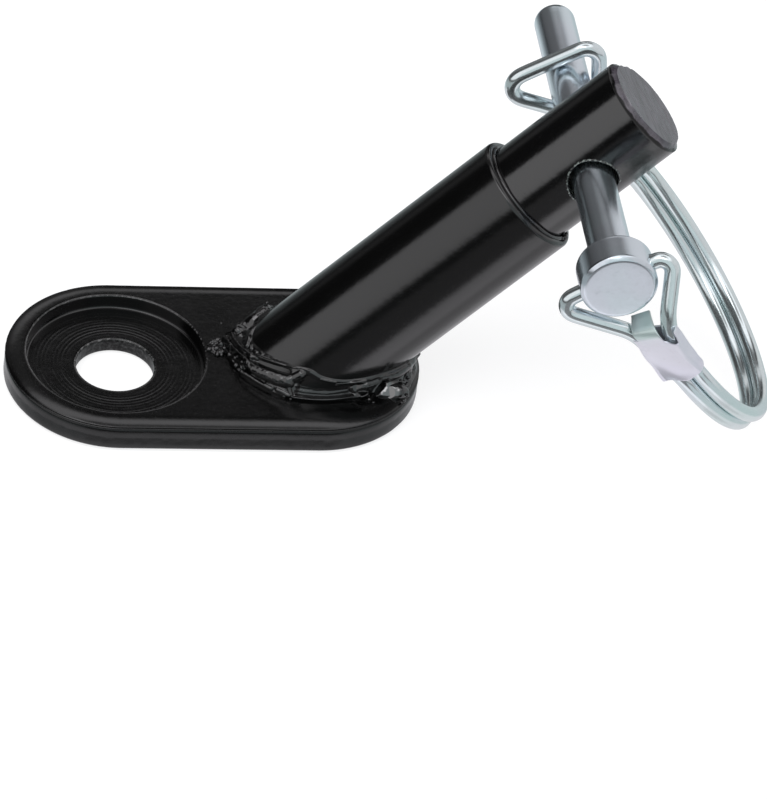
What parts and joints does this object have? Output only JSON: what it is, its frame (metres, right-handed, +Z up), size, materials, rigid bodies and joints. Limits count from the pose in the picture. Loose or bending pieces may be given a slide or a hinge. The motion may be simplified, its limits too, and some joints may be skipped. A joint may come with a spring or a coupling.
{
  "type": "trailer coupling bracket with lock pin",
  "caption": "Flat axle plate with a leaning welded tube and solid post, crossed by a wire lock pin with a spring wire bail.",
  "frame": {"origin": "centre of the axle hole on the plate's bottom face", "axes": "+Z up out of the plate, +X along the plate towards the leaning tube, the lock pin along Y with its head at -Y"},
  "size_m": [0.1156, 0.0706, 0.0593],
  "materials": {
    "black_paint": "gloss",
    "black_post": "satin",
    "weld": "gloss",
    "zinc": "bright zinc",
    "wire_zinc": "bright zinc",
    "clip_zinc": "satin zinc"
  },
  "bodies": {
    "bracket": {"mounting_plate": "black_paint", "socket_tube": "black_paint", "coupling_post": "black_post", "base_weld": "weld", "rim_weld": "weld"},
    "pin": {"lock_pin": "zinc"},
    "bail": {"bail_wire": "wire_zinc", "bail_loop": "wire_zinc", "bail_clip": "clip_zinc"}
  },
  "joints": [
    {"name": "pin_slide", "type": "slide", "parent": "bracket", "child": "pin", "axis": [0, -1, 0], "range_m": [-0.018, 0.0075]},
    {"name": "bail_swing", "type": "hinge", "parent": "pin", "child": "bail", "pos_m": [0.0671, -0.0298, 0.04567], "axis": [-0.8572, 0, -0.515], "range_deg": [0, 180], "deforming": ["bail_loop"]}
  ]
}
